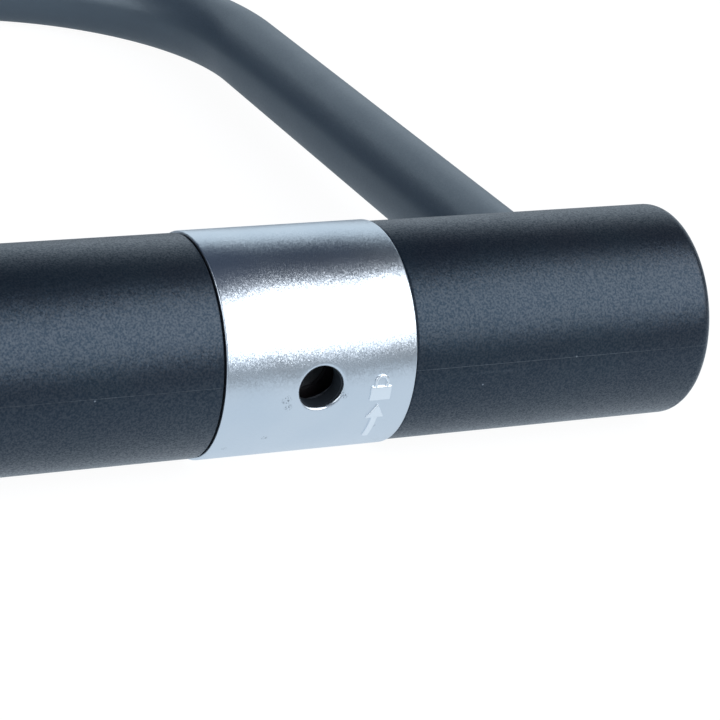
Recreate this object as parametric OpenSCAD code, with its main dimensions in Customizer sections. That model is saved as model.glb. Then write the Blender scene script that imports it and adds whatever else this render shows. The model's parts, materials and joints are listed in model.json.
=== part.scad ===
// U lock for a bicycle: a round crossbar that holds a radial disc cylinder and
// two bolts, and a coated steel shackle whose two feet drop into the crossbar.
//
// The lock's own axes: X runs along the crossbar, Y runs from the crossbar to
// the crown of the shackle, Z is square to the plane of the U. The key goes in
// from the front, along +Y. lay() then sets the lock down on a flat surface,
// where it rests on its band and on the crown. The cylinder is drawn in the
// open position, with both bolts drawn back and the shackle seated.

/* [Crossbar] */
// Outer diameter of the keyhole band
band_d = 45; // [43:0.5:56]
// Width of the keyhole band along the crossbar
band_w = 40; // [38:1:50]
// Wall of the keyhole band
band_wall = 1; // [0.8:0.1:1.5]
// Height by which the band stands proud of the black sleeves
band_step = 0.4; // [0:0.1:0.8]
// Wall of the black sleeves
sleeve_wall = 2.4; // [1.6:0.1:3]
// Rounding of the sleeves' outer end edge
sleeve_edge_r = 2.5; // [1:0.1:3]
// Thickness of the sleeves' closed end
sleeve_end_wall = 3; // [2:0.1:3]
// Gap between the band and each sleeve
band_gap = 0.2; // [0.1:0.05:0.4]
// Wall of the steel crossbar tube
tube_wall = 3.7; // [3:0.1:4.2]
// Distance from a foot's outer side to the end of the crossbar
end_margin = 13.5; // [13.5:0.5:30]
// Thickness of the steel plugs in the tube's ends
end_plug_t = 6; // [4:0.5:6]

/* [Shackle] */
// Distance between the axes of the two legs
leg_spacing = 134; // [110:1:180]
// Straight length of a leg from the crossbar's axis
leg_straight = 178; // [60:1:240]
// Diameter of the bare steel bar
bar_d = 15; // [13:0.5:18]
// Wall of the soft coating on the bar
coat_wall = 2.1; // [1.2:0.1:3]
// Depth of a foot below the crossbar's axis
foot_depth = 12.5; // [12:0.1:13]
// Length of the foot collars over the end of the coating
collar_lap = 3.5; // [2.5:0.5:12]
// Wall of a foot collar round the coating
collar_wall = 1; // [0.8:0.1:1.6]

/* [Keyhole] */
// Diameter of the hole in the band
keyhole_d = 9.2; // [8.5:0.1:9.8]
// Angle of the keyhole and its drive below the plane of the shackle, in degrees
key_drop = 2.5; // [0:0.5:4]
// Bore of the bush behind the band
bush_bore_d = 8.8; // [8:0.1:9.2]
// Outer diameter of the bush
bush_d = 12; // [11:0.1:12.5]
// Length of the bush along the keyhole
bush_l = 3.6; // [2:0.1:4]
// Height of the raised marks on the band
mark_h = 0.35; // [0.2:0.05:0.6]

/* [Lock cylinder] */
// Outer diameter of the cylinder housing
housing_d = 18; // [17.5:0.1:18.4]
// Outer diameter of the turning core
core_d = 13; // [12.6:0.1:13.2]
// Diameter of the locking discs
disc_d = 10.2; // [9.8:0.1:10.4]
// Thickness of a locking disc
disc_t = 1.1; // [0.9:0.05:1.1]
// Thickness of a washer between two discs
washer_t = 0.4; // [0.3:0.05:0.4]
// Number of locking discs
disc_count = 7; // [5:1:7]
// Radius of the half-round keyway
keyway_r = 3.2; // [2.6:0.1:3.4]

/* [Bolts] */
// Diameter of a bolt
bolt_d = 9; // [8:0.1:9.2]
// Travel of a bolt
bolt_throw = 8; // [6:0.1:8]
// Distance of the bolts' axis behind the crossbar's axis
bolt_y = 7.3; // [7.2:0.1:7.5]
// Diameter of the drive pins on the cam
pin_d = 3; // [2.4:0.1:3.2]
// Clearance between a drive pin and each side of its slot
slot_gap = 0.35; // [0.3:0.05:0.5]

/* [Hidden] */
$fn = 96;

// Clearances and small allowances
run_gap = 0.1;      // between pieces that turn or slide in each other
seat_gap = 0.05;    // between a fitted inner piece and the tube
foot_gap = 0.25;    // round a foot in its socket
bolt_gap = 0.2;     // round a bolt in its guides
notch_gap = 0.3;    // round a thrown bolt in a foot's notch
collar_gap = 0.2;   // under a foot collar
cam_gap = 0.4;      // round the cam in its pocket
over = 1;           // by which a cutter runs past the surface it cuts

// Crossbar radii, from the outside in
band_r = band_d / 2;
sleeve_r = band_r - band_step;
tube_r = sleeve_r - sleeve_wall;
tube_bore_r = tube_r - tube_wall;
insert_r = tube_bore_r - seat_gap;

// Crossbar lengths, from the middle to the right end
band_end = band_w / 2;
leg_x = leg_spacing / 2;
crossbar_end = leg_x + bar_d / 2 + end_margin;
tube_end = crossbar_end - sleeve_end_wall;

// Shackle bar and its path
bar_r = bar_d / 2;
coat_r = bar_r + coat_wall;
crown_top = leg_straight + leg_x;
coat_clear = 1.9;
coat_start = sleeve_r + coat_clear;
collar_top = coat_start + collar_lap;
foot_tip_r = 1.5;

// The lock lies on the band and on the crown, so it slopes down to the crown
rest_tilt = asin((band_r - coat_r) / crown_top);
front_y = -(band_r + mark_h);
back_y = crown_top * cos(rest_tilt) + coat_r;
centre_y = (front_y + back_y) / 2;

// Foot sockets, seals and collars
socket_wall = 3.4;
socket_bore_r = bar_r + foot_gap;
socket_in = leg_x - socket_bore_r - socket_wall;
foot_floor_gap = 0.5;
socket_floor_y = -(foot_depth + foot_floor_gap);
socket_pin_r = 1.1;
socket_pin_wall = 0.5;
socket_pin_cover = 1;
socket_pin_x = leg_x + socket_bore_r + socket_pin_cover + socket_pin_r;
socket_out = socket_pin_x + socket_pin_r + socket_pin_cover;
tube_foot_gap = 0.4;
tube_foot_r = bar_r + tube_foot_gap;
seal_wall = 2;
seal_gap = 0.15;
seal_r = bar_r + seal_wall;
seal_bore_r = bar_r + seal_gap;
seal_t = 2.1;
collar_r = coat_r + collar_wall;

// Bolts and their drive, with the pins 45 degrees either side of dead centre
bolt_r = bolt_d / 2;
bolt_guide_r = bolt_r + bolt_gap;
pin_r = pin_d / 2;
pin_path_r = bolt_throw / sqrt(2);
bolt_tip_gap = 0.5;
bolt_tip_x = leg_x - bar_r - bolt_tip_gap;
bolt_neck_x = 9;
tail_t = 4;
tail_y = bolt_y - tail_t / 2;
slot_half = pin_r + slot_gap;
slot_x = -bolt_throw / 2;
tail_end_wall = 1.9;
tail_top_wall = 1.2;
tail_start_x = slot_x - slot_half - tail_end_wall;
tail_low_z = 0.5;
slot_low_z = bolt_throw / 2 - slot_half - run_gap;
slot_high_z = pin_path_r + slot_half + run_gap;
tail_high_z = slot_high_z + tail_top_wall;
notch_x = bolt_tip_x + bolt_throw + bolt_tip_gap;

// Lock cylinder, along Y from the keyhole inwards
housing_r = housing_d / 2;
housing_front = -13;
housing_back = 2;
lip_t = 1;
lip_r = 5;
core_r = core_d / 2;
core_wall = 1.3;
core_bore_r = core_r - core_wall;
disc_r = disc_d / 2;
plate_front = housing_front + lip_t + run_gap;
plate_t = 1.2;
core_front = plate_front + plate_t;
core_back = housing_back - run_gap;
pack_front = core_front + run_gap;
disc_pitch = disc_t + washer_t;
core_floor = pack_front + disc_count * disc_pitch - washer_t;
keyway_flat = 0.6;
sidebar_r = 0.9;
sidebar_orbit = core_r - sidebar_r - run_gap;
gate_gap = 0.1;
sidebar_slot_gap = 0.15;
groove_r = 0.7;

// Drive cam and its screw
cam_r = 8;
cam_tail_gap = 0.5;
cam_front = core_back + cam_gap;
cam_back = tail_y - cam_tail_gap;
cam_recess = 1;
spigot_w = 4;
spigot_end = cam_back - cam_recess;
cam_screw_head_r = 2.7;
cam_screw_r = 1;
cam_screw_l = 3;
pin_short = 0.4;
pin_end = tail_y + tail_t - pin_short;

// Lock carrier and what fastens it
carrier_half = 17;
cam_pocket_r = cam_r + cam_gap;
window_gap = 0.2;
window_front = tail_y - window_gap;
window_t = tail_t + 2 * window_gap;
window_half_z = tail_high_z + cam_gap;
carrier_pin_r = 1.5;
carrier_pin_wall = 0.6;
carrier_pin_x = 13;
carrier_pin_y = -10;
housing_screw_r = 1.5;
housing_screw_y = -4;
housing_screw_bite = 1;
housing_screw_in = housing_r - housing_screw_bite;
housing_screw_sunk = 2;
housing_screw_socket_t = 2;
housing_screw_out = carrier_half - housing_screw_sunk;

// Spacer tubes between carrier and sockets
spacer_wall = 1.5;

// Raised marks on the band, right of the keyhole
mark_x = 12.7;
arrow_angle = 24.5;
arrow_l = 9.6;
arrow_head_l = 3.4;
arrow_head_w = 3.6;
arrow_shaft_w = 1.5;
padlock_angle = 1;
padlock_w = 4.4;
padlock_h = 3.2;
padlock_bow_r = 1.5;
padlock_bow_t = 0.6;
padlock_bow_leg = 0.9;

// ---------------------------------------------------------------- helpers

// Sets the lock down on the surface z = 0, with the outline centred on X and Y
module lay() {
    translate([0, -centre_y, band_r]) rotate([-rest_tilt, 0, 0]) children();
}

// Turns what lines up with the keyhole down to the keyhole's place
module drop() {
    rotate([key_drop, 0, 0]) children();
}

// Sets down the pieces that line up with the keyhole
module lay_drive() {
    lay() drop() children();
}

// Cylinder along X from x0 to x1
module rod_x(r, x0, x1) {
    translate([x0, 0, 0]) rotate([0, 90, 0]) cylinder(r = r, h = x1 - x0);
}

// Cylinder along Y from y0 to y1
module rod_y(r, y0, y1) {
    translate([0, y0, 0]) rotate([-90, 0, 0]) cylinder(r = r, h = y1 - y0);
}

// Tube along X
module tube_x(r_out, r_in, x0, x1) {
    difference() {
        rod_x(r_out, x0, x1);
        rod_x(r_in, x0 - over, x1 + over);
    }
}

// Right-hand piece as drawn for side = 1, its mirror image for side = -1
module on_side(side) {
    mirror([side < 0 ? 1 : 0, 0, 0]) children();
}

// Box from its low corner to its high corner
module box(low, high) {
    translate(low) cube(high - low);
}

// ------------------------------------------------------- crossbar, outside

// Extrusion of an outline on the band's front, turned down by an angle
module mark(angle) {
    intersection() {
        rotate([angle, 0, 0]) translate([mark_x, -band_r + over, 0])
            rotate([90, 0, 0]) linear_extrude(2 * over) children();
        tube_x(band_r + mark_h, band_r - band_wall / 2, -band_end, band_end);
    }
}

// Block arrow that points up round the band
module arrow_outline() {
    neck = arrow_l / 2 - arrow_head_l;
    polygon([
        [0, arrow_l / 2], [-arrow_head_w / 2, neck], [-arrow_shaft_w / 2, neck],
        [-arrow_shaft_w / 2, -arrow_l / 2], [arrow_shaft_w / 2, -arrow_l / 2],
        [arrow_shaft_w / 2, neck], [arrow_head_w / 2, neck]
    ]);
}

// Closed padlock, the plain sign for "locked"
module padlock_outline() {
    bow_y = padlock_bow_leg;
    translate([-padlock_w / 2, -padlock_h]) square([padlock_w, padlock_h]);
    translate([0, bow_y]) difference() {
        circle(padlock_bow_r);
        circle(padlock_bow_r - padlock_bow_t);
        translate([-2 * padlock_bow_r, -4 * padlock_bow_r])
            square(4 * padlock_bow_r);
    }
    for (edge = [-padlock_bow_r, padlock_bow_r - padlock_bow_t])
        translate([edge, -padlock_bow_t]) square([padlock_bow_t, bow_y + padlock_bow_t]);
}

// Silver band round the middle of the crossbar, with the keyhole in front
module keyhole_band() {
    color("silver") lay_drive() {
        difference() {
            tube_x(band_r, band_r - band_wall, -band_end, band_end);
            rod_y(keyhole_d / 2, -band_r - over, 0);
        }
        mark(arrow_angle) arrow_outline();
        mark(padlock_angle) padlock_outline();
    }
}

// Black ring that fills the space between the band and the steel tube
module band_liner() {
    color("dimgray") lay_drive() difference() {
        tube_x(band_r - band_wall, tube_r, -band_end, band_end);
        rod_y(bush_d / 2, -band_r, 0);
    }
}

// Black bush that lines the keyhole, saddle shaped under the band
module keyhole_bush() {
    color("black") lay_drive() intersection() {
        difference() {
            rod_y(bush_d / 2, -band_r, -band_r + band_wall + bush_l);
            rod_y(bush_bore_d / 2, -band_r - over, 0);
        }
        rod_x(band_r - band_wall, -band_end, band_end);
    }
}

// Outline of a sleeve from its axis outwards, closed at the outer end
module sleeve_outline() {
    edge_x = crossbar_end - sleeve_edge_r;
    difference() {
        union() {
            translate([0, band_end + band_gap]) square([sleeve_r, edge_x - band_end - band_gap]);
            translate([0, edge_x]) square([sleeve_r - sleeve_edge_r, sleeve_edge_r]);
            intersection() {
                translate([sleeve_r - sleeve_edge_r, edge_x]) circle(sleeve_edge_r);
                translate([0, edge_x]) square(2 * sleeve_r);
            }
        }
        translate([-over, 0]) square([tube_r + over, tube_end]);
    }
}

// Black sleeve over one half of the crossbar, with a hole for the foot
module sleeve(side) {
    color([0.16, 0.18, 0.21]) lay() on_side(side) difference() {
        rotate([0, 90, 0]) rotate_extrude() sleeve_outline();
        translate([leg_x, 0, 0]) rod_y(seal_r, 0, band_r + over);
    }
}

module left_sleeve() { sleeve(-1); }
module right_sleeve() { sleeve(1); }

// Rubber ring in the sleeve's hole, round the foot, curved as the tube is
module foot_seal(side) {
    color("black") lay() on_side(side) intersection() {
        translate([leg_x, 0, 0]) difference() {
            rod_y(seal_r, 0, band_r);
            rod_y(seal_bore_r, -over, band_r + over);
        }
        tube_x(tube_r + seal_t, tube_r, band_end, tube_end);
    }
}

module left_foot_seal() { foot_seal(-1); }
module right_foot_seal() { foot_seal(1); }

// -------------------------------------------------------- crossbar, inside

// Hardened steel tube that carries everything in the crossbar
module crossbar_tube() {
    color("slategray") lay() difference() {
        tube_x(tube_r, tube_bore_r, -tube_end, tube_end);
        drop() rod_y(bush_d / 2, -band_r, 0);
        for (side = [-1, 1]) {
            translate([side * leg_x, 0, 0]) rod_y(tube_foot_r, 0, band_r);
            drop() translate([side * carrier_pin_x, carrier_pin_y, -band_r])
                cylinder(r = carrier_pin_r, h = 2 * band_r);
            translate([side * socket_pin_x, 0, -band_r])
                cylinder(r = socket_pin_r, h = 2 * band_r);
        }
    }
}

// Steel disc that closes one end of the tube
module end_plug(side) {
    color("slategray") lay() on_side(side)
        rod_x(tube_bore_r, tube_end - end_plug_t, tube_end);
}

module left_end_plug() { end_plug(-1); }
module right_end_plug() { end_plug(1); }

// Steel insert that holds a foot and guides the tip of a bolt
module foot_socket(side) {
    color("lightsteelblue") lay() on_side(side) difference() {
        rod_x(insert_r, socket_in, socket_out);
        translate([leg_x, 0, 0]) rod_y(socket_bore_r, socket_floor_y, band_r);
        drop() translate([0, bolt_y, 0]) rod_x(bolt_guide_r, socket_in - over, leg_x);
        translate([socket_pin_x, 0, -band_r]) cylinder(r = socket_pin_r, h = 2 * band_r);
    }
}

module left_foot_socket() { foot_socket(-1); }
module right_foot_socket() { foot_socket(1); }

// Hollow spring pin along Z through the tube at x, y
module spring_pin(r, wall, x, y) {
    half = sqrt(pow(tube_r - run_gap, 2) - pow(abs(y) + r, 2));
    translate([x, y, -half]) difference() {
        cylinder(r = r, h = 2 * half);
        translate([0, 0, -over]) cylinder(r = r - wall, h = 2 * (half + over));
    }
}

// The spring pins that hold the two sockets
module socket_pins() {
    color("gray") lay() for (side = [-1, 1])
        spring_pin(socket_pin_r, socket_pin_wall, side * socket_pin_x, 0);
}

// The spring pins that hold the lock carrier
module carrier_pins() {
    color("gray") lay_drive() for (side = [-1, 1])
        spring_pin(carrier_pin_r, carrier_pin_wall, side * carrier_pin_x, carrier_pin_y);
}

// Thin tube that keeps a socket away from the lock carrier
module spacer_tube(side) {
    color("gainsboro") lay() on_side(side)
        tube_x(insert_r, insert_r - spacer_wall, carrier_half, socket_in);
}

module left_spacer_tube() { spacer_tube(-1); }
module right_spacer_tube() { spacer_tube(1); }

// Line of the housing's grub screw, on the left of the cylinder
module at_housing_screw() {
    translate([0, housing_screw_y, 0]) on_side(-1) children();
}

// Cast block in the middle that holds the cylinder and guides both bolts
module lock_carrier() {
    color("darkgray") lay_drive() difference() {
        rod_x(insert_r, -carrier_half, carrier_half);
        rod_y(housing_r, -band_r, housing_back);
        rod_y(cam_pocket_r, housing_back - over, window_front + over);
        box([-carrier_half - over, window_front, -window_half_z],
            [carrier_half + over, window_front + window_t, window_half_z]);
        translate([0, bolt_y, 0]) rod_x(bolt_guide_r, -carrier_half - over, carrier_half + over);
        at_housing_screw() rod_x(housing_screw_r, 0, carrier_half + over);
        for (side = [-1, 1])
            translate([side * carrier_pin_x, carrier_pin_y, -band_r])
                cylinder(r = carrier_pin_r, h = 2 * band_r);
    }
}

// Grub screw that holds the cylinder housing in the carrier
module housing_screw() {
    color("gray") lay_drive() at_housing_screw() difference() {
        rod_x(housing_screw_r, housing_screw_in, housing_screw_out);
        rotate([0, 90, 0]) translate([0, 0, housing_screw_out - housing_screw_socket_t])
            cylinder(r = housing_screw_r / 2, h = housing_screw_socket_t + over, $fn = 6);
    }
}

// ----------------------------------------------------------- lock cylinder

// Fixed shell of the cylinder, with a lip in front of the drill plate and a
// groove at the side for the sidebar when the lock is shut
module cylinder_housing() {
    color("gold") lay_drive() difference() {
        rod_y(housing_r, housing_front, housing_back);
        rod_y(core_r + run_gap, housing_front + lip_t, housing_back + over);
        rod_y(lip_r, housing_front - over, 0);
        translate([core_r + run_gap, 0, 0]) rod_y(groove_r, core_front, core_floor);
        at_housing_screw() rod_x(housing_screw_r, housing_screw_in, housing_r + over);
    }
}

// Half-round keyway along Y
module keyway(y0, y1) {
    intersection() {
        rod_y(keyway_r, y0, y1);
        box([-keyway_r, y0, -keyway_flat], [keyway_r, y1, keyway_r]);
    }
}

// Hardened plate that turns in front of the discs
module drill_plate() {
    color("dimgray") lay_drive() difference() {
        rod_y(core_r, plate_front, plate_front + plate_t);
        keyway(plate_front - over, plate_front + plate_t + over);
    }
}

// Place of the sidebar, at the top of the core
module at_sidebar() {
    translate([0, 0, sidebar_orbit]) children();
}

// Turning core: a barrel round the discs, with a square spigot for the cam
module plug_core() {
    color("goldenrod") lay_drive() difference() {
        union() {
            rod_y(core_r, core_front, core_back);
            box([-spigot_w / 2, core_back - over, -spigot_w / 2],
                [spigot_w / 2, spigot_end, spigot_w / 2]);
        }
        rod_y(core_bore_r, core_front - over, core_floor);
        at_sidebar() rod_y(sidebar_r + sidebar_slot_gap, core_front - over, core_floor);
        rod_y(cam_screw_r, spigot_end - cam_screw_l, spigot_end + over);
    }
}

// One disc or washer of the pack, with its gate for the sidebar
module pack_ring(y0, t) {
    difference() {
        rod_y(disc_r, y0, y0 + t);
        keyway(y0 - over, y0 + t + over);
        at_sidebar() rod_y(sidebar_r + gate_gap, y0 - over, y0 + t + over);
    }
}

// The locking discs that the key turns one by one
module detainer_discs() {
    color("khaki") lay_drive() for (i = [0 : disc_count - 1])
        pack_ring(pack_front + i * disc_pitch, disc_t);
}

// The washers that keep the discs apart
module spacer_washers() {
    color("silver") lay_drive() for (i = [0 : disc_count - 2])
        pack_ring(pack_front + i * disc_pitch + disc_t, washer_t);
}

// Bar that drops into the discs' gates and frees the core
module sidebar() {
    color("gray") lay_drive() at_sidebar() rod_y(sidebar_r, pack_front, core_floor);
}

// Cam behind the core, with one pin for each bolt
module drive_cam() {
    color("silver") lay_drive() difference() {
        union() {
            rod_y(cam_r, cam_front, cam_back);
            for (side = [-1, 1])
                translate([-side * bolt_throw / 2, 0, side * bolt_throw / 2])
                    rod_y(pin_r, cam_back - over, pin_end);
        }
        box([-spigot_w / 2, cam_front - over, -spigot_w / 2],
            [spigot_w / 2, cam_back + over, spigot_w / 2]);
        rod_y(cam_screw_head_r + run_gap, spigot_end, cam_back + over);
    }
}

// Screw that holds the cam on the core
module cam_screw() {
    color("gray") lay_drive() difference() {
        union() {
            rod_y(cam_screw_head_r, spigot_end, cam_back);
            rod_y(cam_screw_r, spigot_end - cam_screw_l, spigot_end + over / 2);
        }
        box([-cam_screw_head_r, cam_back - cam_recess / 2, -cam_recess / 4],
            [cam_screw_head_r, cam_back + over, cam_recess / 4]);
    }
}

// ------------------------------------------------------------------- bolts

// Bolt: a round bar with a flat slotted tail that the cam's pin drives
module bolt(side) {
    color("lightgray") lay_drive() rotate([0, side < 0 ? 180 : 0, 0]) difference() {
        union() {
            translate([0, bolt_y, 0]) rod_x(bolt_r, bolt_neck_x, bolt_tip_x);
            box([tail_start_x, tail_y, tail_low_z],
                [bolt_neck_x + bolt_r, tail_y + tail_t, tail_high_z]);
        }
        box([slot_x - slot_half, tail_y - over, slot_low_z],
            [slot_x + slot_half, tail_y + tail_t + over, slot_high_z]);
    }
}

module left_bolt() { bolt(-1); }
module right_bolt() { bolt(1); }

// ----------------------------------------------------------------- shackle

// Round bar of radius r along the whole path of the shackle, from y0 upwards
module shackle_path(r, y0) {
    for (side = [-1, 1])
        translate([side * leg_x, 0, 0]) rod_y(r, y0, leg_straight);
    translate([0, leg_straight, 0])
        rotate_extrude(angle = 180) translate([leg_x, 0]) circle(r);
}

// Steel bar with a notch in the inner side of each foot
module shackle_bar() {
    color("lightslategray") lay() difference() {
        union() {
            shackle_path(bar_r, -foot_depth + foot_tip_r);
            for (side = [-1, 1])
                translate([side * leg_x, -foot_depth, 0]) rotate([-90, 0, 0])
                    cylinder(r1 = bar_r - foot_tip_r, r2 = bar_r, h = foot_tip_r);
        }
        for (side = [-1, 1]) on_side(side)
            box([leg_x - bar_r - over, bolt_y - bolt_r - notch_gap, -bar_r - over],
                [notch_x, bolt_y + bolt_r + notch_gap, bar_r + over]);
    }
}

// Soft dark coating round the bar
module shackle_coating() {
    color([0.27, 0.31, 0.36]) lay() difference() {
        shackle_path(coat_r, coat_start);
        shackle_path(bar_r, coat_start - over);
    }
}

// Hard ring that covers the coating's end and sits on the sleeve
module foot_collar(side) {
    color("black") lay() on_side(side) difference() {
        translate([leg_x, 0, 0]) rod_y(collar_r, 0, collar_top);
        translate([leg_x, 0, 0]) rod_y(bar_r, -over, coat_start + over);
        translate([leg_x, 0, 0]) rod_y(coat_r, coat_start, collar_top + over);
        rod_x(sleeve_r + collar_gap, 0, crossbar_end + over);
    }
}

module left_foot_collar() { foot_collar(-1); }
module right_foot_collar() { foot_collar(1); }

// ---------------------------------------------------------------- the lock

crossbar_tube();
keyhole_band();
band_liner();
keyhole_bush();
left_sleeve();
right_sleeve();
left_end_plug();
right_end_plug();
left_foot_socket();
right_foot_socket();
socket_pins();
left_spacer_tube();
right_spacer_tube();
left_foot_seal();
right_foot_seal();
lock_carrier();
carrier_pins();
housing_screw();
cylinder_housing();
drill_plate();
plug_core();
detainer_discs();
spacer_washers();
sidebar();
drive_cam();
cam_screw();
left_bolt();
right_bolt();
shackle_bar();
shackle_coating();
left_foot_collar();
right_foot_collar();
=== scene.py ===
"""Looks of a bicycle U lock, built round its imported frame.

Every visible piece is made in the lock's own axes, in metres: X along the
crossbar, Y from the crossbar to the crown, Z square to the plane of the U,
with the origin in the middle of the crossbar. laid_down() then puts a piece
where the lock lies.
"""

import json
import math

import bmesh
import bpy
from mathutils import Matrix, Vector


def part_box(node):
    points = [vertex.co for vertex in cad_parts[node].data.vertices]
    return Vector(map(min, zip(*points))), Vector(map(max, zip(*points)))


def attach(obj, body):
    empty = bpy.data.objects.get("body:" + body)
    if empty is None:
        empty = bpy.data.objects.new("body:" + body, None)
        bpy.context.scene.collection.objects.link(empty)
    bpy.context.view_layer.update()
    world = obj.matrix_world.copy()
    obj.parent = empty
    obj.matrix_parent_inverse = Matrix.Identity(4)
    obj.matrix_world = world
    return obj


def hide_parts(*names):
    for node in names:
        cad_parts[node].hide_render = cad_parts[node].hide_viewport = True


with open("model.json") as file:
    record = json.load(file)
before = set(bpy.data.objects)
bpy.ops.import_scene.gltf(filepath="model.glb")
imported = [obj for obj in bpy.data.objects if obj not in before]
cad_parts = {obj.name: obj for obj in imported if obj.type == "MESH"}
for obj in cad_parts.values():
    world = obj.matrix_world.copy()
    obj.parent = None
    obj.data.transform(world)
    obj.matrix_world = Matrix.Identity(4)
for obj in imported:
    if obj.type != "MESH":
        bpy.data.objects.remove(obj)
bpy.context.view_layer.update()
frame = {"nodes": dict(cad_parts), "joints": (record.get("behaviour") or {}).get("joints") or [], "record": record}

# ------------------------------------------------------------------ the frame

JOINTS = {joint["name"]: joint for joint in frame["joints"]}
ALONG_LEGS = Vector(JOINTS["shackle_lift"]["axis"])
MIDDLE = Vector(JOINTS["core_turn"]["pos_m"])
ALONG_KEY = Vector(JOINTS["core_turn"]["axis"])
TILT = math.atan2(ALONG_LEGS.z, ALONG_LEGS.y)
KEY_DROP = math.atan2(ALONG_KEY.z, ALONG_KEY.y) - TILT
LAY = Matrix.Translation(MIDDLE) @ Matrix.Rotation(TILT, 4, "X")

MM = 0.001

BAND_R = MIDDLE.z
BAND_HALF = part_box("keyhole_band")[1].x
BAND_WALL = 1.0 * MM
SLEEVE_LOW, SLEEVE_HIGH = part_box("right_sleeve")
SLEEVE_START = SLEEVE_LOW.x
SLEEVE_END = SLEEVE_HIGH.x
SLEEVE_R = (SLEEVE_HIGH.z - SLEEVE_LOW.z) / 2
SLEEVE_WALL = 2.4 * MM
SLEEVE_EDGE_R = 2.5 * MM
COAT_R = 9.6 * MM
LEG_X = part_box("shackle_coating")[1].x - COAT_R
CROWN_Y = 178 * MM
COAT_START = 24 * MM
BAR_R = 7.5 * MM
KEYHOLE_R = 4.6 * MM
FOOT_HOLE_R = 9.5 * MM
COLLAR_R = 10.6 * MM
COLLAR_TOP = 27.5 * MM
COLLAR_GAP = 0.2 * MM
COLLAR_LIP_R = 0.45 * MM
MARK_X = 12.7 * MM
MARK_H = 0.35 * MM
MARK_SUNK = 0.3 * MM
MARK_DEPTH = MARK_H + MARK_SUNK
MARK_MIDDLE = (MARK_H - MARK_SUNK) / 2

# ----------------------------------------------------------------- the camera

VIEW_AZIMUTH = math.radians(-27.24)
VIEW_ELEVATION = math.radians(23.31)
VIEW_ROLL = math.radians(6.61)
VIEW_DISTANCE = 526.1 * MM
VIEW_LENS = 132.6
VIEW_AIM = Vector((14.53, -8.57, -2.24)) * MM


def make_camera():
    """Long lens, from above and left of the keyhole, rolled a little."""
    data = bpy.data.cameras.new("camera")
    data.lens = VIEW_LENS
    data.sensor_width = 36
    data.clip_start = 0.01
    data.clip_end = 50
    camera = bpy.data.objects.new("camera", data)
    bpy.context.scene.collection.objects.link(camera)
    back = Vector((
        math.sin(VIEW_AZIMUTH) * math.cos(VIEW_ELEVATION),
        -math.cos(VIEW_AZIMUTH) * math.cos(VIEW_ELEVATION),
        math.sin(VIEW_ELEVATION),
    ))
    level = back.cross(Vector((0, 0, 1))).normalized() * -1
    upward = back.cross(level)
    right = level * math.cos(VIEW_ROLL) + upward * math.sin(VIEW_ROLL)
    up = upward * math.cos(VIEW_ROLL) - level * math.sin(VIEW_ROLL)
    turn = Matrix((right, up, back)).transposed().to_4x4()
    place = Matrix.Translation(VIEW_AIM + back * VIEW_DISTANCE)
    camera.matrix_world = LAY @ place @ turn
    bpy.context.scene.camera = camera


make_camera()

# ------------------------------------------------------------------ materials


class Nodes:
    """Small helper that adds and joins the nodes of one tree."""

    def __init__(self, tree):
        self.tree = tree

    def add(self, kind, **settings):
        node = self.tree.nodes.new(kind)
        for name, value in settings.items():
            setattr(node, name, value)
        return node

    def join(self, source, target):
        self.tree.links.new(source, target)

    def math(self, operation, a, b=None, clamp=False):
        node = self.add("ShaderNodeMath", operation=operation, use_clamp=clamp)
        for socket, value in zip(node.inputs, (a, b)):
            self.put(socket, value)
        return node.outputs[0]

    def put(self, socket, value):
        if value is None:
            return
        if isinstance(value, bpy.types.NodeSocket):
            self.join(value, socket)
        else:
            socket.default_value = value

    def ramp(self, value, low, high, to_low=0.0, to_high=1.0):
        node = self.add("ShaderNodeMapRange", interpolation_type="SMOOTHSTEP")
        for socket, item in zip(node.inputs, (value, low, high, to_low, to_high)):
            self.put(socket, item)
        return node.outputs[0]

    def mix(self, factor, a, b):
        node = self.add("ShaderNodeMix", data_type="RGBA")
        self.put(node.inputs[0], factor)
        self.put(node.inputs[6], a)
        self.put(node.inputs[7], b)
        return node.outputs[2]

    def noise(self, vector, scale, detail=2.0, roughness=0.5):
        node = self.add("ShaderNodeTexNoise")
        self.join(vector, node.inputs["Vector"])
        node.inputs["Scale"].default_value = scale
        node.inputs["Detail"].default_value = detail
        node.inputs["Roughness"].default_value = roughness
        return node.outputs[0]


def new_group(name, inputs, outputs):
    """Empty shader node group with named inputs and outputs."""
    group = bpy.data.node_groups.new(name, "ShaderNodeTree")
    for label, kind, value in inputs:
        socket = group.interface.new_socket(label, in_out="INPUT", socket_type=kind)
        if value is not None:
            socket.default_value = value
    for label, kind in outputs:
        group.interface.new_socket(label, in_out="OUTPUT", socket_type=kind)
    nodes = Nodes(group)
    entry = nodes.add("NodeGroupInput")
    leave = nodes.add("NodeGroupOutput")
    return group, nodes, entry, leave


FLOAT = "NodeSocketFloat"
VECTOR = "NodeSocketVector"


def make_grain_group():
    """Fine grain: a height, and a mask that varies slowly over the surface."""
    group, n, entry, leave = new_group(
        "fine_grain",
        [("Vector", VECTOR, None), ("Size", FLOAT, 0.0003)],
        [("Height", FLOAT), ("Patches", FLOAT)],
    )
    scale = n.math("DIVIDE", 1.0, entry.outputs["Size"])
    fine = n.add("ShaderNodeTexNoise")
    n.join(entry.outputs["Vector"], fine.inputs["Vector"])
    n.join(scale, fine.inputs["Scale"])
    fine.inputs["Detail"].default_value = 2.0
    n.join(fine.outputs[0], leave.inputs["Height"])
    patches = n.noise(entry.outputs["Vector"], 45.0, 3.0)
    n.join(patches, leave.inputs["Patches"])
    return group


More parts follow.
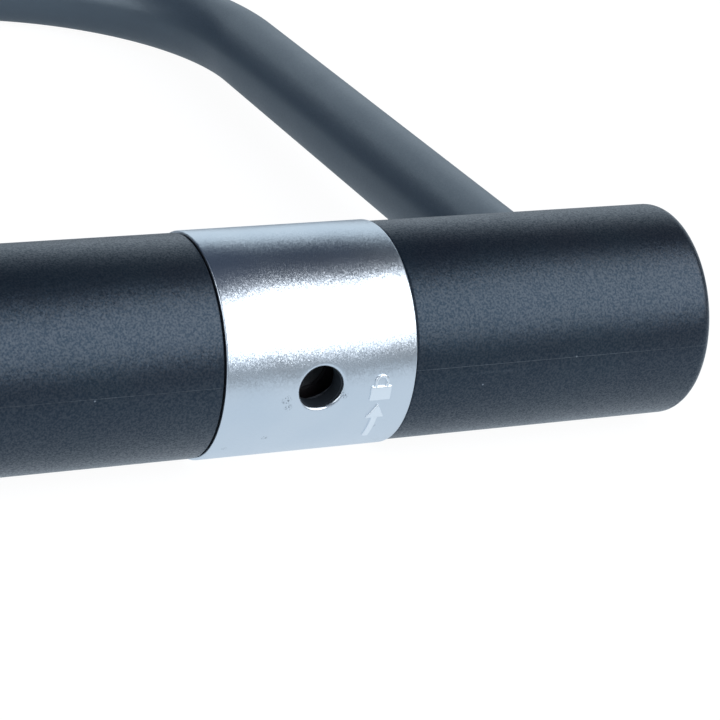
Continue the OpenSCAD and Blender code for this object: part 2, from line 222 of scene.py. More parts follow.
def make_wear_group():
    """Sparse fine scratches and dust specks, as masks from 0 to 1."""
    group, n, entry, leave = new_group(
        "light_wear",
        [("Vector", VECTOR, None), ("Scratches", FLOAT, 0.5), ("Specks", FLOAT, 0.5)],
        [("Scratches", FLOAT), ("Specks", FLOAT)],
    )
    stretch = n.add("ShaderNodeMapping")
    n.join(entry.outputs["Vector"], stretch.inputs["Vector"])
    stretch.inputs["Rotation"].default_value = (0.3, 0.7, 0.25)
    stretch.inputs["Scale"].default_value = (25.0, 700.0, 700.0)
    line = n.noise(stretch.outputs[0], 1.0, 1.0)
    thin = n.ramp(line, 0.765, 0.80)
    n.join(n.math("MULTIPLY", thin, entry.outputs["Scratches"]), leave.inputs["Scratches"])
    cells = n.add("ShaderNodeTexVoronoi")
    n.join(entry.outputs["Vector"], cells.inputs["Vector"])
    cells.inputs["Scale"].default_value = 130.0
    spots = n.ramp(cells.outputs["Distance"], 0.02, 0.035, 1.0, 0.0)
    pick = n.add("ShaderNodeSeparateColor")
    n.join(cells.outputs["Color"], pick.inputs[0])
    chosen = n.ramp(pick.outputs[0], 0.90, 0.91)
    dots = n.math("MULTIPLY", spots, chosen)
    n.join(n.math("MULTIPLY", dots, entry.outputs["Specks"]), leave.inputs["Specks"])
    return group


def make_lock_axes_group():
    """Object coordinates turned into the lock's own axes."""
    group, n, entry, leave = new_group(
        "lock_axes",
        [("Vector", VECTOR, None)],
        [("Vector", VECTOR)],
    )
    shift = n.add("ShaderNodeVectorMath", operation="SUBTRACT")
    n.join(entry.outputs["Vector"], shift.inputs[0])
    shift.inputs[1].default_value = MIDDLE
    turn = n.add("ShaderNodeVectorRotate", rotation_type="X_AXIS")
    n.join(shift.outputs[0], turn.inputs["Vector"])
    turn.inputs["Angle"].default_value = -TILT
    n.join(turn.outputs[0], leave.inputs["Vector"])
    return group


def make_flakes_group():
    """Normal that tips a little at random from one blasted facet to the next."""
    group, n, entry, leave = new_group(
        "blasted_facets",
        [("Vector", VECTOR, None), ("Size", FLOAT, 0.0003), ("Tip", FLOAT, 0.1)],
        [("Normal", VECTOR)],
    )
    scale = n.math("DIVIDE", 1.0, entry.outputs["Size"])
    cells = n.add("ShaderNodeTexVoronoi")
    n.join(entry.outputs["Vector"], cells.inputs["Vector"])
    n.join(scale, cells.inputs["Scale"])
    centred = n.add("ShaderNodeVectorMath", operation="SUBTRACT")
    n.join(cells.outputs["Color"], centred.inputs[0])
    centred.inputs[1].default_value = (0.5, 0.5, 0.5)
    tipped = n.add("ShaderNodeVectorMath", operation="SCALE")
    n.join(centred.outputs[0], tipped.inputs[0])
    n.join(entry.outputs["Tip"], tipped.inputs["Scale"])
    surface = n.add("ShaderNodeNewGeometry")
    total = n.add("ShaderNodeVectorMath", operation="ADD")
    n.join(surface.outputs["Normal"], total.inputs[0])
    n.join(tipped.outputs[0], total.inputs[1])
    unit = n.add("ShaderNodeVectorMath", operation="NORMALIZE")
    n.join(total.outputs[0], unit.inputs[0])
    n.join(unit.outputs[0], leave.inputs["Normal"])
    return group


def reach_from_place(n, entry):
    """Distance from the group's place, as a share of its radius."""
    apart = n.add("ShaderNodeVectorMath", operation="DISTANCE")
    n.join(entry.outputs["Vector"], apart.inputs[0])
    n.join(entry.outputs["Place"], apart.inputs[1])
    return n.math("DIVIDE", apart.outputs["Value"], entry.outputs["Radius"])


def make_scuff_group():
    """Small ragged scuff round one place, as a mask from 0 to 1."""
    group, n, entry, leave = new_group(
        "small_scuff",
        [("Vector", VECTOR, None), ("Place", VECTOR, None), ("Radius", FLOAT, 0.001)],
        [("Mask", FLOAT)],
    )
    inside = n.ramp(reach_from_place(n, entry), 0.3, 1.0, 1.0, 0.0)
    ragged = n.ramp(n.noise(entry.outputs["Vector"], 3000.0, 2.0), 0.50, 0.60)
    n.join(n.math("MULTIPLY", inside, ragged), leave.inputs["Mask"])
    return group


def make_dot_group():
    """Round dot at one place, as a mask from 0 to 1."""
    group, n, entry, leave = new_group(
        "dot",
        [("Vector", VECTOR, None), ("Place", VECTOR, None), ("Radius", FLOAT, 0.0002)],
        [("Mask", FLOAT)],
    )
    inside = n.ramp(reach_from_place(n, entry), 0.6, 1.0, 1.0, 0.0)
    n.join(inside, leave.inputs["Mask"])
    return group


GRAIN = make_grain_group()
DOT = make_dot_group()
FLAKES = make_flakes_group()
SCUFF = make_scuff_group()
WEAR = make_wear_group()
LOCK_AXES = make_lock_axes_group()

METAL = 1.0
NOT_METAL = 0.0


class Finish:
    """A material with the grain and wear groups ready to use."""

    def __init__(self, name, grain, metallic=NOT_METAL, scratches=0.5, specks=0.5):
        self.material = bpy.data.materials.new(name)
        self.material.use_nodes = True
        self.n = Nodes(self.material.node_tree)
        self.shader = self.material.node_tree.nodes["Principled BSDF"]
        self.shader.inputs["Metallic"].default_value = metallic
        coords = self.n.add("ShaderNodeTexCoord").outputs["Object"]
        self.axes = self.group(LOCK_AXES, Vector=coords).outputs["Vector"]
        grained = self.group(GRAIN, Vector=self.axes, Size=grain)
        self.height = grained.outputs["Height"]
        self.patches = grained.outputs["Patches"]
        worn = self.group(WEAR, Vector=self.axes, Scratches=scratches, Specks=specks)
        self.scratches = worn.outputs["Scratches"]
        self.specks = worn.outputs["Specks"]
        self.base_normal = None

    def group(self, tree, **values):
        node = self.n.add("ShaderNodeGroup", node_tree=tree)
        for name, value in values.items():
            self.n.put(node.inputs[name], value)
        return node

    def colour(self, base, varied, worn, amount=1.0):
        """Base colour that drifts towards varied, with worn scratches and specks."""
        drift = self.n.ramp(self.patches, 0.35, 0.65)
        mixed = self.n.mix(drift, (*base, 1), (*varied, 1))
        marks = self.n.math("ADD", self.scratches, self.specks, clamp=True)
        marks = self.n.math("MULTIPLY", marks, amount)
        self.n.join(self.n.mix(marks, mixed, (*worn, 1)), self.shader.inputs["Base Color"])

    def roughness(self, low, high):
        """Roughness that drifts between two values."""
        rough = self.n.ramp(self.patches, 0.3, 0.7, low, high)
        self.n.join(rough, self.shader.inputs["Roughness"])

    def facets(self, size, tip):
        """Blasted facets under the bump."""
        self.base_normal = self.group(FLAKES, Vector=self.axes, Size=size, Tip=tip).outputs[0]

    def tint(self, colour, level):
        """Colour and strength of the shine."""
        self.shader.inputs["Specular Tint"].default_value = (*colour, 1)
        self.shader.inputs["Specular IOR Level"].default_value = level

    def sparkle(self, low, high, rough):
        """Second shine whose strength varies from grain to grain."""
        weight = self.n.ramp(self.height, 0.32, 0.68, low, high)
        self.n.join(weight, self.shader.inputs["Coat Weight"])
        self.shader.inputs["Coat Roughness"].default_value = rough

    def bump(self, depth, extra=None):
        """Grain, and an extra height if there is one, as a bump of a real depth."""
        height = self.height
        if extra is not None:
            height = self.n.math("ADD", height, extra)
        node = self.n.add("ShaderNodeBump")
        self.n.put(node.inputs["Normal"], self.base_normal)
        node.inputs["Strength"].default_value = 1.0
        node.inputs["Distance"].default_value = depth
        self.n.join(height, node.inputs["Height"])
        self.n.join(node.outputs[0], self.shader.inputs["Normal"])


def satin_steel():
    """Blasted and plated steel of the band, scuffed here and there."""
    finish = Finish("satin_steel", metallic=METAL, grain=0.5 * MM, scratches=0.5, specks=0.7)
    for place, radius in SCUFFS:
        mask = finish.group(SCUFF, Vector=finish.axes, Place=place, Radius=radius).outputs[0]
        finish.specks = finish.n.math("MAXIMUM", finish.specks, mask)
    finish.colour((0.70, 0.75, 0.80), (0.66, 0.72, 0.78), (0.16, 0.18, 0.21), 0.7)
    finish.roughness(0.28, 0.32)
    finish.facets(0.20 * MM, 0.10)
    finish.bump(0.006 * MM)
    return finish.material


def sleeve_black():
    """Fine textured black plastic of the sleeves, with its mould seam."""
    finish = Finish("sleeve_black", grain=0.42 * MM, scratches=0.05, specks=0.6)
    n = finish.n
    split = n.add("ShaderNodeSeparateXYZ")
    n.join(finish.axes, split.inputs[0])
    off_seam = n.math("ABSOLUTE", n.math("SUBTRACT", split.outputs["Z"], SEAM_Z))
    front = n.math("LESS_THAN", split.outputs["Y"], 0.0)
    ridge = n.ramp(off_seam, SEAM_CREST, SEAM_FOOT, SEAM_HEIGHT, 0.0)
    ridge = n.math("MULTIPLY", ridge, front)
    # The seam is painted paler along its crest on the front half, and this pale line is mixed in with the specks.
    line = n.ramp(off_seam, SEAM_CREST, SEAM_FOOT, SEAM_PALENESS, 0.0)
    line = n.math("MULTIPLY", line, front)
    line = n.math("MULTIPLY", line, n.ramp(finish.patches, 0.35, 0.60, 0.3, 1.0))
    finish.specks = n.math("MAXIMUM", finish.specks, line)
    for place in DUST:
        mask = finish.group(DOT, Vector=finish.axes, Place=place, Radius=DUST_R).outputs[0]
        finish.specks = n.math("MAXIMUM", finish.specks, mask)
    finish.colour((0.006, 0.008, 0.013), (0.005, 0.009, 0.014), (0.30, 0.34, 0.38), 0.6)
    finish.roughness(0.36, 0.40)
    finish.tint((0.48, 0.72, 1.0), 0.52)
    finish.sparkle(0.0, 0.70, 0.38)
    finish.facets(0.22 * MM, 0.14)
    finish.bump(0.02 * MM, ridge)
    return finish.material


def soft_coating():
    """Soft dark grey coating of the shackle."""
    finish = Finish("soft_coating", grain=0.5 * MM, scratches=0.3, specks=0.3)
    finish.colour((0.055, 0.074, 0.095), (0.059, 0.080, 0.102), (0.13, 0.16, 0.18), 0.4)
    finish.roughness(0.34, 0.40)
    finish.tint((0.80, 0.92, 1.0), 1.0)
    finish.facets(0.30 * MM, 0.06)
    finish.bump(0.003 * MM)
    return finish.material


def plain(name, base, varied, worn, metallic, rough, depth=0.004 * MM):
    """Finish of the small pieces and of those that are mostly out of sight."""
    finish = Finish(name, metallic=metallic, grain=0.4 * MM)
    finish.colour(base, varied, worn, 0.6)
    finish.roughness(rough, rough + 0.08)
    finish.bump(depth)
    return finish.material


# The mould seam: its place, half its width at the crest and at the foot, its
# height as a multiple of the grain's, and how pale it is.
SEAM_Z = 0.9 * MM
SEAM_CREST = 0.03 * MM
SEAM_FOOT = 0.09 * MM
SEAM_HEIGHT = 4.0
SEAM_PALENESS = 0.30
# Radius and places of the dust specks on the sleeves.
DUST_R = 0.22 * MM
DUST = (
    Vector((56.0, -22.08, 0.95)) * MM,
    Vector((35.5, -21.8, -3.5)) * MM,
    Vector((-46.0, -22.08, 0.5)) * MM,
)
# Place and radius of each scuff on the band.
SCUFFS = (
    (Vector((5.0, -22.3, -2.9)) * MM, 1.0 * MM),
    (Vector((-7.2, -22.2, -2.8)) * MM, 1.3 * MM),
    (Vector((-6.6, -22.0, -4.4)) * MM, 1.1 * MM),
    (Vector((-9.6, -19.0, -12.0)) * MM, 0.9 * MM),
    (Vector((-17.0, -17.2, -14.5)) * MM, 0.8 * MM),
    (Vector((13.5, -19.4, -11.4)) * MM, 0.7 * MM),
)
MATERIALS = {
    "satin_steel": satin_steel(),
    "sleeve_black": sleeve_black(),
    "coating": soft_coating(),
    "black_plastic": plain(
        "black_plastic", metallic=NOT_METAL, rough=0.42,
        base=(0.021, 0.027, 0.034), varied=(0.025, 0.032, 0.040), worn=(0.06, 0.06, 0.07)),
    "seal_rubber": plain(
        "seal_rubber", metallic=NOT_METAL, rough=0.65,
        base=(0.012, 0.012, 0.013), varied=(0.018, 0.018, 0.019), worn=(0.05, 0.05, 0.05)),
    "crossbar_steel": plain(
        "crossbar_steel", metallic=METAL, rough=0.34,
        base=(0.36, 0.38, 0.41), varied=(0.42, 0.44, 0.47), worn=(0.55, 0.56, 0.58)),
    "cast_zinc": plain(
        "cast_zinc", metallic=METAL, rough=0.48, depth=0.01 * MM,
        base=(0.42, 0.43, 0.45), varied=(0.50, 0.51, 0.53), worn=(0.62, 0.63, 0.65)),
    "brass": plain(
        "brass", metallic=METAL, rough=0.30,
        base=(0.60, 0.43, 0.18), varied=(0.68, 0.50, 0.22), worn=(0.80, 0.66, 0.36)),
    "hardened_steel": plain(
        "hardened_steel", metallic=METAL, rough=0.36,
        base=(0.22, 0.23, 0.25), varied=(0.28, 0.29, 0.31), worn=(0.45, 0.46, 0.48)),
    "plated_steel": plain(
        "plated_steel", metallic=METAL, rough=0.27,
        base=(0.56, 0.58, 0.60), varied=(0.64, 0.65, 0.67), worn=(0.75, 0.76, 0.77)),
}
# Lighter copy of the band's steel for the raised marks: its paleness is a painted highlight that makes the marks
# stand out on the band.
MARK_PAINTED_HIGHLIGHT = plain(
    "mark_painted_highlight", metallic=METAL, rough=0.30,
    base=(0.90, 0.93, 0.96), varied=(0.86, 0.90, 0.94), worn=(0.60, 0.63, 0.66))
# Near black stand-in for the cylinder housing: painted shade for the dark inside of the keyhole, where the housing
# sits in shadow.
HOUSING_PAINTED_SHADE = plain(
    "housing_painted_shade", metallic=NOT_METAL, rough=0.45,
    base=(0.010, 0.008, 0.010), varied=(0.014, 0.011, 0.013), worn=(0.05, 0.04, 0.03))
SLOT_OF = {part["node"]: part["material_slot"] for part in frame["record"]["subparts"]}

# --------------------------------------------------------------- making pieces

SAME_PLACE = 1e-6
HOLE_STEPS = 64
WALL_STEPS = 112
BAR_STEPS = 96
CROWN_STEPS = 144
RING_SHARES = (0.16, 0.32, 0.6, 1.0)
KEYHOLE_PATCH = 9 * MM
FOOT_HOLE_PATCH = 13 * MM
BAND_EDGE_R = 0.32 * MM
KEYHOLE_EDGE_R = 0.6 * MM
SLEEVE_RIM_R = 0.5 * MM
MARK_EDGE_R = 0.22 * MM
MARK_REACH = 6 * MM
MARK_CUT_STEP = 0.5 * MM


def laid_down(name, shape, slot, sharp):
    """Object from a bmesh in the lock's own axes, laid down, with its material."""
    shape.transform(LAY)
    mesh = bpy.data.meshes.new(name)
    shape.to_mesh(mesh)
    shape.free()
    piece = bpy.data.objects.new(name, mesh)
    bpy.context.scene.collection.objects.link(piece)
    mesh.materials.append(MATERIALS[slot])
    mesh.polygons.foreach_set("use_smooth", [True] * len(mesh.polygons))
    mesh.set_sharp_from_angle(angle=math.radians(sharp))
    return piece


def new_ring(shape, edges):
    """Extrude edges; returns the new vertices and the new edges between them."""
    made = bmesh.ops.extrude_edge_only(shape, edges=edges)["geom"]
    verts = [item for item in made if isinstance(item, bmesh.types.BMVert)]
    fresh = set(verts)
    edges = [
        item for item in made
        if isinstance(item, bmesh.types.BMEdge) and fresh.issuperset(item.verts)
    ]
    return verts, edges


def edges_where(shape, test):
    """Edges with both ends in the place that the test names."""
    return [edge for edge in shape.edges if test(edge.verts[0].co) and test(edge.verts[1].co)]


def near(value, target):
    """Whether two lengths are the same."""
    return abs(value - target) < SAME_PLACE


def holed_wall(radius, x_low, x_high, hole_x, hole_r, patch, side):
    """Wall of a tube round X with a round hole that looks along side * Y.

    Rings from the hole out to a square patch, twice patch across, carry the
    round hole over into the straight rows of the rest of the wall.
    """
    shape = bmesh.new()
    bmesh.ops.create_circle(shape, segments=HOLE_STEPS, radius=hole_r)
    edges = shape.edges[:]
    for share in RING_SHARES:
        verts, edges = new_ring(shape, edges)
        for vert in verts:
            out = vert.co.normalized()
            square = out * (patch / max(abs(out.x), abs(out.y)))
            vert.co = (out * hole_r).lerp(square, share)
    for limit, target in ((-patch, x_low - hole_x), (patch, x_high - hole_x)):
        verts, _ = new_ring(shape, edges_where(shape, lambda co: near(co.x, limit)))
        for vert in verts:
            vert.co.x = target
    for vert in shape.verts:
        height = vert.co.y
        depth = math.sqrt(radius ** 2 - height ** 2)
        vert.co = Vector((vert.co.x + hole_x, side * depth, height))
    row = edges_where(shape, lambda co: near(co.z, patch))
    bmesh.ops.spin(
        shape, geom=row, cent=(0, 0, 0), axis=(1, 0, 0), dvec=(0, 0, 0),
        angle=side * (2 * math.pi - 2 * math.asin(patch / radius)),
        steps=WALL_STEPS, use_merge=False, use_normal_flip=False, use_duplicate=False,
    )
    bmesh.ops.remove_doubles(shape, verts=shape.verts[:], dist=SAME_PLACE)
    return shape


def thicken(shape, wall):
    """Give an open wall its thickness inwards."""
    bmesh.ops.recalc_face_normals(shape, faces=shape.faces[:])
    bmesh.ops.solidify(shape, geom=shape.faces[:], thickness=wall)
    bmesh.ops.recalc_face_normals(shape, faces=shape.faces[:])


def round_edges(shape, width, segments=3, sharp=40):
    """Round every edge that is sharper than the angle."""
    limit = math.radians(sharp)
    edges = [edge for edge in shape.edges if edge.is_manifold and edge.calc_face_angle() > limit]
    bmesh.ops.bevel(
        shape, geom=edges, offset=width, offset_type="OFFSET", segments=segments,
        profile=0.5, affect="EDGES", clamp_overlap=True, material=-1,
    )


def on_keyhole_rim(co):
    """Whether a point lies on the outer edge of the keyhole in the band."""
    across = math.hypot(co.x, co.z)
    out = math.hypot(co.y, co.z)
    on_hole = abs(across - KEYHOLE_R) < 0.02 * MM
    on_outside = out > BAND_R - 0.1 * MM
    return co.y < 0 and on_hole and on_outside


def make_band():
    """Steel band with the keyhole, its edges slightly rounded."""
    shape = holed_wall(BAND_R, -BAND_HALF, BAND_HALF, 0, KEYHOLE_R, KEYHOLE_PATCH, -1)
    thicken(shape, BAND_WALL)
    rim = edges_where(shape, on_keyhole_rim)
    bmesh.ops.bevel(
        shape, geom=rim, offset=KEYHOLE_EDGE_R, offset_type="OFFSET", segments=4,
        profile=0.5, affect="EDGES", clamp_overlap=True, material=-1,
    )
    round_edges(shape, BAND_EDGE_R, sharp=60)
    shape.transform(Matrix.Rotation(KEY_DROP, 4, "X"))
    band = laid_down("band", shape, "satin_steel", sharp=60)
    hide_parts("keyhole_band")
    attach(band, "crossbar")


def bent_on_band(shape, up):
    """Lay a flat mark round the front of the band, a length up from its middle."""
    cuts = int(MARK_REACH / MARK_CUT_STEP)
    for i in range(-cuts, cuts):
        bmesh.ops.bisect_plane(
            shape, geom=shape.verts[:] + shape.edges[:] + shape.faces[:],
            plane_co=(0, i * MARK_CUT_STEP, 0), plane_no=(0, 1, 0), dist=0.1 * SAME_PLACE,
        )
    for vert in shape.verts:
        turn = (vert.co.y + up) / BAND_R
        out = BAND_R + vert.co.z
        vert.co = Vector((MARK_X + vert.co.x, -out * math.cos(turn), out * math.sin(turn)))


def block(shape, width, height, x, y):
    """Flat block of a mark, its middle at x, y."""
    size = Matrix.Diagonal((width, height, MARK_DEPTH, 1))
    place = Matrix.Translation((x, y, MARK_MIDDLE))
    bmesh.ops.create_cube(shape, size=1, matrix=place @ size)


def finish_mark(name, shape, below):
    """Round a mark's edges and set it on the band, below degrees under the middle."""
    up = -below * math.pi / 180 * BAND_R
    round_edges(shape, MARK_EDGE_R)
    bent_on_band(shape, up)
    bmesh.ops.recalc_face_normals(shape, faces=shape.faces[:])
    mark = laid_down(name, shape, "satin_steel", sharp=30)
    # The mark takes the lighter copy of the steel, a painted highlight.
    mark.data.materials[0] = MARK_PAINTED_HIGHLIGHT
    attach(mark, "crossbar")


def make_arrow():
    """Raised arrow that points the way the key turns."""
    shaft_w = 1.3 * MM
    shaft_l = 6.6 * MM
    shaft_y = -1.5 * MM
    head_r = 2.3 * MM
    head_y = 2.7 * MM
    shape = bmesh.new()
    block(shape, shaft_w, shaft_l, 0, shaft_y)
    bmesh.ops.create_cone(
        shape, cap_ends=True, segments=3, radius1=head_r, radius2=head_r,
        depth=MARK_DEPTH, matrix=Matrix.Translation((0, head_y, MARK_MIDDLE)),
    )
    finish_mark("arrow_mark", shape, 27)


def make_padlock():
    """Raised closed padlock: a block with a bow."""
    body_w = 4.4 * MM
    body_h = 3.2 * MM
    bow_r = 1.2 * MM
    bow_w = 0.6 * MM
    leg_h = 1.4 * MM
    leg_y = 0.2 * MM
    shape = bmesh.new()
    block(shape, body_w, body_h, 0, -body_h / 2)
    bow = bmesh.new()
    for x in (-bow_r, bow_r):
        block(bow, bow_w, leg_h, x, leg_y)
    tops = [
        face for face in bow.faces
        if face.normal.y > 0.9 and face.calc_center_median().x > 0
    ]
    bmesh.ops.spin(
        bow, geom=tops, cent=(0, leg_y + leg_h / 2, 0), axis=(0, 0, 1), dvec=(0, 0, 0),
        angle=math.pi, steps=12, use_merge=False, use_normal_flip=False, use_duplicate=False,
    )
    bmesh.ops.remove_doubles(bow, verts=bow.verts[:], dist=SAME_PLACE)
    mesh = bpy.data.meshes.new("bow")
    bow.to_mesh(mesh)
    bow.free()
    shape.from_mesh(mesh)
    bpy.data.meshes.remove(mesh)
    finish_mark("padlock_mark", shape, 3.5)


def make_sleeve(side, node):
    """Black sleeve with a round foot hole behind and a rounded, closed end."""
    edge_steps = 8
    edge_x = SLEEVE_END - SLEEVE_EDGE_R
    shape = holed_wall(SLEEVE_R, SLEEVE_START, edge_x, LEG_X, FOOT_HOLE_R, FOOT_HOLE_PATCH, 1)
    edges = edges_where(shape, lambda co: near(co.x, edge_x))
    for i in range(1, edge_steps + 1):
        turn = i * math.pi / (2 * edge_steps)
        radius = SLEEVE_R - SLEEVE_EDGE_R * (1 - math.cos(turn))
        verts, edges = new_ring(shape, edges)
        for vert in verts:
            out = Vector((0, vert.co.y, vert.co.z)).normalized() * radius
            vert.co = out + Vector((edge_x + SLEEVE_EDGE_R * math.sin(turn), 0, 0))
    bmesh.ops.edgeloop_fill(shape, edges=edges)
    thicken(shape, SLEEVE_WALL)
    round_edges(shape, SLEEVE_RIM_R)
    if side < 0:
        bmesh.ops.scale(shape, vec=(-1, 1, 1), verts=shape.verts[:])
        bmesh.ops.reverse_faces(shape, faces=shape.faces[:])
    sleeve = laid_down(node + "_skin", shape, "sleeve_black", sharp=60)
    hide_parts(node)
    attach(sleeve, "crossbar")


def make_coating():
    """Coating along both legs and round the crown."""
    shape = bmesh.new()
    start = Matrix.Translation((LEG_X, COAT_START, 0)) @ Matrix.Rotation(math.pi / 2, 4, "X")
    bmesh.ops.create_circle(shape, segments=BAR_STEPS, radius=COAT_R, matrix=start)
    first = shape.edges[:]
    verts, edges = new_ring(shape, first)
    bmesh.ops.translate(shape, vec=(0, CROWN_Y - COAT_START, 0), verts=verts)
    swept = bmesh.ops.spin(
        shape, geom=edges, cent=(0, CROWN_Y, 0), axis=(0, 0, 1), dvec=(0, 0, 0),
        angle=math.pi, steps=CROWN_STEPS, use_merge=False, use_normal_flip=False,
        use_duplicate=False,
    )["geom_last"]
    edges = [item for item in swept if isinstance(item, bmesh.types.BMEdge)]
    verts, last = new_ring(shape, edges)
    bmesh.ops.translate(shape, vec=(0, COAT_START - CROWN_Y, 0), verts=verts)
    for edges, x in ((first, LEG_X), (last, -LEG_X)):
        middle = Vector((x, COAT_START, 0))
        verts, inner = new_ring(shape, edges)
        for vert in verts:
            vert.co = middle + (vert.co - middle) * (BAR_R / COAT_R)
        bmesh.ops.edgeloop_fill(shape, edges=inner)
    bmesh.ops.recalc_face_normals(shape, faces=shape.faces[:])
    coating = laid_down("coating_skin", shape, "coating", sharp=50)
    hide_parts("shackle_coating")
    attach(coating, "shackle")


def make_collar(side, node):
    """Hard ring at the coating's end, its lower edge shaped to the sleeve."""
    shape = bmesh.new()
    turn = Matrix.Rotation(math.pi / 2, 4, "X")
    bmesh.ops.create_circle(shape, segments=BAR_STEPS, radius=COLLAR_R, matrix=turn)
    seat = SLEEVE_R + COLLAR_GAP
    for vert in shape.verts:
        vert.co.y = math.sqrt(seat ** 2 - vert.co.z ** 2)
    outside = shape.edges[:]
    edges = outside
    for radius, y in collar_profile():
        verts, edges = new_ring(shape, edges)
        for vert in verts:
            out = Vector((vert.co.x, 0, vert.co.z)).normalized() * radius
            vert.co = out + Vector((0, y, 0))
    verts, inside = new_ring(shape, outside)
    for vert in verts:
        out = Vector((vert.co.x, 0, vert.co.z)).normalized() * BAR_R
        vert.co = out + Vector((0, math.sqrt(seat ** 2 - out.z ** 2), 0))
    bmesh.ops.bridge_loops(shape, edges=inside + edges)
    bmesh.ops.translate(shape, vec=(side * LEG_X, 0, 0), verts=shape.verts[:])
    bmesh.ops.recalc_face_normals(shape, faces=shape.faces[:])
    collar = laid_down(node + "_ring", shape, "black_plastic", sharp=50)
    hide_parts(node)
    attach(collar, "shackle")


def collar_profile():
    """Radius and height of the rings up the collar, over its rounded top and down inside."""
    lip_steps = 4
    profile = [(COLLAR_R, COLLAR_TOP - COLLAR_LIP_R)]
    for i in range(1, lip_steps + 1):
        turn = i * math.pi / (2 * lip_steps)
        profile.append((
            COLLAR_R - COLLAR_LIP_R * (1 - math.cos(turn)),
            COLLAR_TOP - COLLAR_LIP_R * (1 - math.sin(turn)),
        ))
    profile.append((COAT_R, COLLAR_TOP))
    profile.append((COAT_R, COAT_START))
    profile.append((BAR_R, COAT_START))
    return profile


make_band()
make_arrow()
make_padlock()
make_sleeve(-1, "left_sleeve")
make_sleeve(1, "right_sleeve")
make_coating()
make_collar(-1, "left_foot_collar")
make_collar(1, "right_foot_collar")

# ------------------------------------------------------------------- the stage

WHITE = (1, 1, 1, 1)
BLACK = (0, 0, 0, 1)


def make_floor():
    """Pale floor that keeps a soft shadow and stays near white to the eye.

    In the lock's shine it is a pale blue, which fades towards the front and
    towards the crown.
    """
    half_floor = 4.0
    matte_colour = (0.86, 0.90, 0.95, 1)
    shine_colour = (0.66, 0.75, 0.84, 1)
    glow_strength = 1.08
    shown_share = 0.88
    shape = bmesh.new()
    bmesh.ops.create_grid(shape, x_segments=1, y_segments=1, size=half_floor)
    mesh = bpy.data.meshes.new("floor")
    shape.to_mesh(mesh)
    shape.free()
    floor = bpy.data.objects.new("floor", mesh)
    bpy.context.scene.collection.objects.link(floor)
    material = bpy.data.materials.new("pale_floor")
    material.use_nodes = True
    n = Nodes(material.node_tree)
    material.node_tree.nodes.clear()
    matte = n.add("ShaderNodeBsdfDiffuse")
    matte.inputs["Color"].default_value = matte_colour
    glow = n.add("ShaderNodeEmission")
    glow.inputs["Strength"].default_value = glow_strength
    path = n.add("ShaderNodeLightPath")
    split = n.add("ShaderNodeSeparateXYZ")
    n.join(n.add("ShaderNodeTexCoord").outputs["Object"], split.inputs[0])
    front_fade = n.ramp(split.outputs["Y"], -0.31, -0.19, 0.25, 1.0)
    back_fade = n.ramp(split.outputs["Y"], -0.12, 0.0, 1.0, 0.55)
    share = n.math("MULTIPLY", front_fade, back_fade)
    mirrored = n.mix(share, BLACK, shine_colour)
    shown = n.mix(path.outputs["Is Camera Ray"], mirrored, WHITE)
    n.join(shown, glow.inputs["Color"])
    seen = n.math("MULTIPLY", path.outputs["Is Camera Ray"], shown_share)
    seen = n.math("MAXIMUM", seen, path.outputs["Is Glossy Ray"])
    blend = n.add("ShaderNodeMixShader")
    n.join(seen, blend.inputs[0])
    n.join(matte.outputs[0], blend.inputs[1])
    n.join(glow.outputs[0], blend.inputs[2])
    result = n.add("ShaderNodeOutputMaterial")
    n.join(blend.outputs[0], result.inputs["Surface"])
    mesh.materials.append(material)


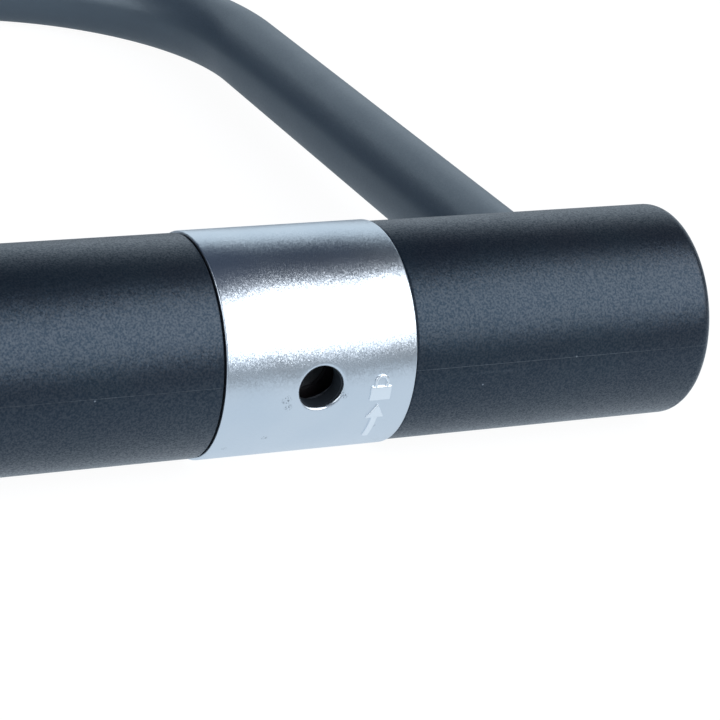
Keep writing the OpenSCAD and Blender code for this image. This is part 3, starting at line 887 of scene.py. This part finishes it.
def make_world():
    """Room that is pale behind the lock, dim above it and grey low in front of it."""
    ceiling_left = (0.020, 0.035, 0.070, 1)
    ceiling_right = (0.008, 0.015, 0.028, 1)
    front_left = (0.40, 0.46, 0.53, 1)
    front_right = (0.07, 0.08, 0.09, 1)
    behind = (0.78, 0.90, 1.0, 1)
    world = bpy.data.worlds.new("studio")
    bpy.context.scene.world = world
    world.use_nodes = True
    n = Nodes(world.node_tree)
    world.node_tree.nodes.clear()
    direction = n.add("ShaderNodeTexCoord").outputs["Generated"]
    split = n.add("ShaderNodeSeparateXYZ")
    n.join(direction, split.inputs[0])
    rise = n.math("SUBTRACT", split.outputs["Z"], n.math("MULTIPLY", split.outputs["Y"], 0.9))
    backdrop = n.ramp(rise, -0.30, 0.16, 1.0, 0.0)
    backdrop = n.math("MULTIPLY", backdrop, n.ramp(split.outputs["X"], -0.34, -0.18))
    rightward = n.ramp(split.outputs["X"], 0.34, 0.52)
    ceiling = n.mix(rightward, ceiling_left, ceiling_right)
    front = n.mix(rightward, front_left, front_right)
    low_front = n.math("SUBTRACT", n.math("MULTIPLY", split.outputs["Y"], -0.5), split.outputs["Z"])
    room = n.mix(n.ramp(low_front, -0.05, 0.10), ceiling, front)
    room = n.mix(backdrop, room, behind)
    path = n.add("ShaderNodeLightPath")
    shown = n.mix(path.outputs["Is Camera Ray"], room, WHITE)
    background = n.add("ShaderNodeBackground")
    n.join(shown, background.inputs["Color"])
    result = n.add("ShaderNodeOutputWorld")
    n.join(background.outputs[0], result.inputs["Surface"])


def make_softbox(name, centre, size_x, size_y, radiance, colour):
    """Soft rectangular lamp that faces the middle of the crossbar."""
    data = bpy.data.lights.new(name, "AREA")
    data.shape = "RECTANGLE"
    data.size = size_x
    data.size_y = size_y
    data.energy = radiance * math.pi * size_x * size_y
    data.color = colour
    lamp = bpy.data.objects.new(name, data)
    bpy.context.scene.collection.objects.link(lamp)
    lamp.location = MIDDLE + centre
    lamp.rotation_mode = "QUATERNION"
    lamp.rotation_quaternion = centre.to_track_quat("Z", "Y")


make_floor()
make_world()
make_softbox(
    "front_softbox", centre=Vector((0.52, -0.69, 0.735)), size_x=1.5, size_y=1.13,
    radiance=3.1, colour=(0.93, 0.96, 1.0))
make_softbox(
    "left_softbox", centre=Vector((-0.95, -0.15, 0.50)), size_x=0.8, size_y=0.8,
    radiance=2.2, colour=(0.93, 0.97, 1.0))

# ------------------------------------------------------------ the CAD's finish

for node, piece in frame["nodes"].items():
    piece.data.materials.clear()
    piece.data.materials.append(MATERIALS[SLOT_OF[node]])
# The housing gets the near black painted shade, so the inside of the keyhole looks dark.
frame["nodes"]["cylinder_housing"].data.materials[0] = HOUSING_PAINTED_SHADE

# ---------------------------------------------------------------------- finish

scene = bpy.context.scene
scene.view_settings.view_transform = "Standard"
